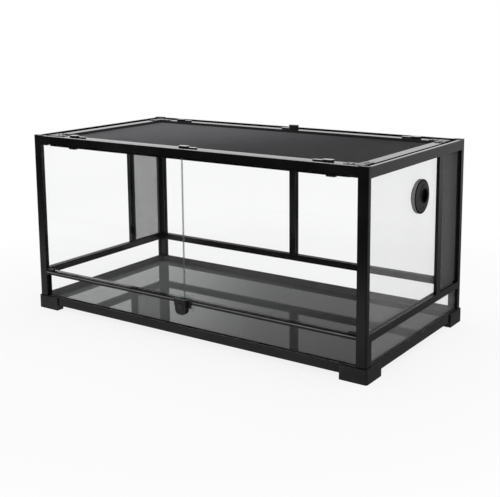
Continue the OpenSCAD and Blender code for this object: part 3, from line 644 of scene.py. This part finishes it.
# the keyway's faces are painted near black as shade
for face in nodes["lock_plug"].data.polygons:
    spot = face.center
    inside = math.hypot(spot.x - lockX, spot.z - lockZ) < keyway["reach"]
    isKeyway = inside and keyway["from"] < spot.y - low.y < keyway["deep"]
    face.material_index = 1 if isKeyway else 0
verts, faces = [], []
around, across = keyRing["around"], keyRing["across"]
for k in range(around):
    a = math.tau * k / around
    for j in range(across):
        b = math.tau * j / across
        r = keyRing["radius"] + keyRing["thick"] * math.cos(b)
        y = low.y + keyRing["sunk"] - keyRing["thick"] * math.sin(b)
        verts.append((lockX + r * math.cos(a), y, lockZ + r * math.sin(a)))
for k in range(around):
    for j in range(across):
        p, q = k * across + j, ((k + 1) % around) * across + j
        r = (j + 1) % across - j
        faces.append((p, q, q + r, p + r))
newObject("keyRing", verts, faces, ringMetal, "lock_plug", True)
print("lock trim made")

# along the front of the sill: a rounded edge strip painted pale as a highlight, and above it a
# strip painted near black as shade in the gap
sillTrim = {
    "edgeLow": 92.5 * mm,
    "edgeHigh": 94.3 * mm,
    "gapHigh": 96.9 * mm,
    "proud": 0.8 * mm,
    "gapProud": 0.15 * mm,
    "steps": 24,
    "roundPoints": 9,
}


def sillStrip(name, low, high, proud, material):
    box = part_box("mid_rail_front")
    start, end, face = box[0].x, box[1].x, box[0].y
    middle, half = (low + high) / 2, (high - low) / 2
    angles = np.linspace(-math.pi / 2, math.pi / 2, sillTrim["roundPoints"])
    profile = [(face - proud * math.cos(a), middle + half * math.sin(a)) for a in angles]
    steps = sillTrim["steps"]
    verts = [(start + (end - start) * k / steps, y, z)
             for k in range(steps + 1) for y, z in profile]
    n = len(profile)
    faces = [(k * n + i + 1, k * n + i, (k + 1) * n + i, (k + 1) * n + i + 1)
             for k in range(steps) for i in range(n - 1)]
    faces += [(k * n, k * n + n - 1, (k + 1) * n + n - 1, (k + 1) * n) for k in range(steps)]
    faces += [tuple(range(n)), tuple(reversed(range(steps * n, steps * n + n)))]
    newObject(name, verts, faces, material, "frame", True)


sillStrip("sillEdgePaintedHighlight", sillTrim["edgeLow"], sillTrim["edgeHigh"], sillTrim["proud"],
          plastic["sill edge painted highlight"])
sillStrip("sillGapPaintedShade", sillTrim["edgeHigh"], sillTrim["gapHigh"], sillTrim["gapProud"],
          plastic["sill gap painted shade"])
print("sill trim made")

# A white sheet as the camera sees it. Gloss sees the parts of it set here: they were fitted to
# the reflections in the photograph, and light nothing else
stageLook = {
    "floorHalf": 9,
    "floorDrop": 0.5 * mm,
    "backdrop": (-0.571, 0.821),  # heading of the white backdrop
    "sheetShare": (0.86, 1.0),  # beside the tank, where its shadow falls, and further out
    "shareReach": (0.45, 1.3),  # of the distance squared
    "frontEdge": (-1.15, -0.55),  # gloss sees the sheet end here
    "dark": 0.03,
    "gloss": 0.40,
    "rightStart": (0.25, 0.55),  # and dim here
    "rightFade": (0.5, 1.35),
    "rightGloss": (0.14, 0.50),
    "glossShare": 0.97,
    "paper": (0.88, 0.88, 0.88),
    "backdropEdge": (0.15, 0.62),
    "backdropTop": (0.34, 0.60),
    "topGloss": 0.35,
    "leftPart": (-0.64, -0.52),  # the backdrop isn't dimmed left of here
    "dimHeight": (0.18, 0.28),
    "dimBy": 0.6,
    "ambient": 0.42,
    "whiteSeen": 1.0,
}

floorMesh = bpy.data.meshes.new("floor")
edge = stageLook["floorHalf"]
floorMesh.from_pydata([(-edge, -edge, 0), (edge, -edge, 0), (edge, edge, 0), (-edge, edge, 0)],
                      [], [(0, 1, 2, 3)])
floor = bpy.data.objects.new("floor", floorMesh)
floor.location.z = -stageLook["floorDrop"]
bpy.context.scene.collection.objects.link(floor)
floorLook, shader = newMaterial("studio floor")
x, y, z = shader.split(shader.place())
light = shader.add("ShaderNodeLightPath").socket.node
seen = Sock(shader, light.outputs["Is Camera Ray"])
glossy = Sock(shader, light.outputs["Is Glossy Ray"])
toFront = shader.span(y, *stageLook["frontEdge"], stageLook["dark"], 1.0)
atRight = shader.span(x, *stageLook["rightStart"])
rightGloss = shader.span(x, *stageLook["rightFade"], *stageLook["rightGloss"])
sweep = (1 - atRight) * stageLook["gloss"] + atRight * rightGloss
share = shader.span(x * x + y * y, *stageLook["shareReach"], *stageLook["sheetShare"])
strength = seen * stageLook["whiteSeen"] + glossy * toFront * sweep * (1 - seen)
sheet = shader.add("ShaderNodeEmission", None, {"Strength": strength})
paper = shader.principled(Base_Color=stageLook["paper"], Roughness=0.9)
shares = {0: seen * share, 1: glossy * stageLook["glossShare"]}
shown = shader.add("ShaderNodeMath", {"operation": "MAXIMUM"}, shares)
shader.finish(shader.add("ShaderNodeMixShader", None, {0: shown, 1: paper, 2: sheet}))
floorMesh.materials.append(floorLook)

world = bpy.data.worlds.new("studio")
bpy.context.scene.world = world
world.use_nodes = True
shader = Shader(world.node_tree)
light = shader.add("ShaderNodeLightPath").socket.node
seen = Sock(shader, light.outputs["Is Camera Ray"])
glossy = Sock(shader, light.outputs["Is Glossy Ray"])
diffuse = Sock(shader, light.outputs["Is Diffuse Ray"])
clear = Sock(shader, light.outputs["Is Transmission Ray"])
dx, dy, dz = shader.split(shader.add("ShaderNodeTexCoord", None, None, "Generated"))
heading = dx * stageLook["backdrop"][0] + dy * stageLook["backdrop"][1]
atLeft = shader.span(dx, *stageLook["leftPart"], 1.0, 0.0)
dimmer = 1 - (1 - atLeft) * shader.span(dz, *stageLook["dimHeight"]) * stageLook["dimBy"]
towards = shader.span(heading, *stageLook["backdropEdge"], stageLook["dark"], 1.0)
fall = shader.span(dz, *stageLook["backdropTop"], 1.0, stageLook["topGloss"])
backdrop = towards * fall * dimmer
white = (seen + clear) * stageLook["whiteSeen"]
strength = white + glossy * backdrop + diffuse * stageLook["ambient"]
background = shader.add("ShaderNodeBackground", None, {"Color": (1, 1, 1), "Strength": strength})
output = world.node_tree.nodes.new("ShaderNodeOutputWorld")
world.node_tree.links.new(background.socket, output.inputs["Surface"])


def areaLamp(name, spot, aim, size, energy):
    lamp = bpy.data.lights.new(name, "AREA")
    lamp.shape = "RECTANGLE"
    lamp.size, lamp.size_y = size
    lamp.energy = energy
    holder = bpy.data.objects.new(name, lamp)
    bpy.context.scene.collection.objects.link(holder)
    holder.location = spot
    holder.rotation_euler = (Vector(aim) - Vector(spot)).to_track_quat("-Z", "Y").to_euler()
    holder.visible_glossy = False  # gloss sees the sheet and the backdrop instead


lamps = {
    "topSoftbox": {"spot": (0.2, 0.3, 2.4), "size": (2.2, 1.6), "energy": 34},
    "leftSoftbox": {"spot": (-2.4, -1.6, 1.5), "size": (1.4, 1.4), "energy": 14},
}
for name, lamp in lamps.items():
    areaLamp(name, aim=(0, 0, 0.2), **lamp)

# Fitted to the edges of the frame in the photograph
cameraFit = {
    "place": (1.26997, -1.79156, 0.72464),
    "heading": 34.8352,
    "pitch": -9.7703,
    "roll": -0.4662,
    "focal": 938.73,  # in pixels of the picture
    "picture": 500,
    "sensor": 36,
    "shift": -0.15,
    "reach": 50,
}

psi, pitch, roll = (math.radians(cameraFit[k]) for k in ("heading", "pitch", "roll"))
level = math.cos(pitch)
forward = Vector((-math.sin(psi) * level, math.cos(psi) * level, math.sin(pitch)))
right = Vector((math.cos(psi), math.sin(psi), 0))
up = right.cross(forward)
cosRoll, sinRoll = math.cos(roll), math.sin(roll)
right, up = right * cosRoll + up * sinRoll, up * cosRoll - right * sinRoll
cameraData = bpy.data.cameras.new("camera")
cameraData.sensor_width = cameraFit["sensor"]
cameraData.lens = cameraFit["focal"] / cameraFit["picture"] * cameraFit["sensor"]
cameraData.shift_y = cameraFit["shift"]
cameraData.clip_end = cameraFit["reach"]
camera = bpy.data.objects.new("camera", cameraData)
bpy.context.scene.collection.objects.link(camera)
turn = Matrix((right, up, -forward)).transposed().to_4x4()
camera.matrix_world = Matrix.Translation(cameraFit["place"]) @ turn
bpy.context.scene.camera = camera
bpy.context.scene.view_settings.view_transform = "Standard"
print("stage, lights and camera ready")
